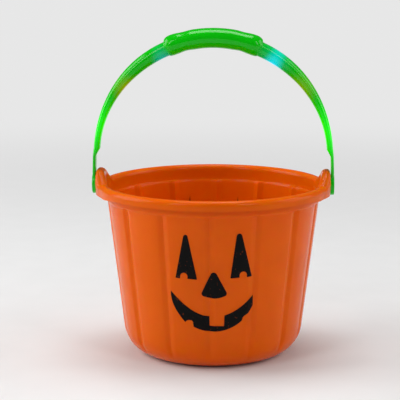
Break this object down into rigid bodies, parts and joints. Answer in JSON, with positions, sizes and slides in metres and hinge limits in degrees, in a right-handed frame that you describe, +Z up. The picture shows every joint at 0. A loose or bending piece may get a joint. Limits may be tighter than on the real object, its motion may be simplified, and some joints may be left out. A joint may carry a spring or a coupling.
{
  "type": "light-up trick-or-treat bucket",
  "caption": "Orange lobed pumpkin pail with a printed jack-o'-lantern face and a green swinging handle that holds lamps, cells and a push switch.",
  "frame": {"origin": "middle of the pail's base, on the surface it stands on", "axes": "+Z up along the pail's axis, -Y towards the side with the printed face that the picture shows, +X along the handle's pivot axis to the viewer's right"},
  "size_m": [0.2134, 0.203, 0.2878],
  "materials": {
    "orange_plastic": "semi gloss, slightly translucent",
    "black_ink": "printed, satin",
    "green_plastic": "gloss, translucent",
    "button_plastic": "gloss",
    "pale_plastic": "satin",
    "black_plastic": "satin",
    "board_laminate": "satin",
    "black_resin": "gloss",
    "nickel_plate": "bright plated",
    "plated_steel": "plated",
    "grey_insulation": "satin",
    "black_insulation": "satin",
    "red_insulation": "satin",
    "blue_lens": "clear tinted",
    "red_lens": "clear tinted",
    "green_lens": "clear tinted"
  },
  "bodies": {
    "pail": {"bucket_shell": "orange_plastic", "front_left_eye_print": "black_ink", "front_right_eye_print": "black_ink", "front_nose_print": "black_ink", "front_mouth_print": "black_ink", "back_left_eye_print": "black_ink", "back_right_eye_print": "black_ink", "back_nose_print": "black_ink", "back_mouth_print": "black_ink"},
    "handle": {"handle_front_shell": "green_plastic", "handle_back_shell": "green_plastic", "case_screw_1": "plated_steel", "case_screw_2": "plated_steel", "case_screw_3": "plated_steel", "case_screw_4": "plated_steel", "circuit_board": "board_laminate", "control_chip": "black_resin", "switch_body": "black_plastic", "button_cell_1": "nickel_plate", "button_cell_2": "nickel_plate", "button_cell_3": "nickel_plate", "battery_spring": "plated_steel", "contact_plate_positive": "plated_steel", "contact_plate_negative": "plated_steel", "battery_lead_red": "red_insulation", "battery_lead_black": "black_insulation", "lamp_lead_left": "grey_insulation", "lamp_lead_right": "grey_insulation", "blue_lamp_left": "blue_lens", "blue_lamp_right": "blue_lens", "red_lamp_left": "red_lens", "red_lamp_right": "red_lens", "green_lamp_left": "green_lens", "green_lamp_right": "green_lens"},
    "button": {"push_button": "button_plastic", "switch_stem": "pale_plastic"},
    "door": {"battery_door": "green_plastic", "battery_door_screw": "plated_steel"}
  },
  "joints": [
    {"name": "handle_swing", "type": "hinge", "parent": "pail", "child": "handle", "pos_m": [0, 0, 0.1505], "axis": [1, 0, 0], "range_deg": [-128, 128]},
    {"name": "button_press", "type": "slide", "parent": "handle", "child": "button", "axis": [0, -1, 0], "range_m": [0, 0.001], "stiffness_N_per_m": 300},
    {"name": "battery_door_lift", "type": "slide", "parent": "handle", "child": "door", "axis": [0, 1, 0], "range_m": [0, 0.0085]}
  ]
}
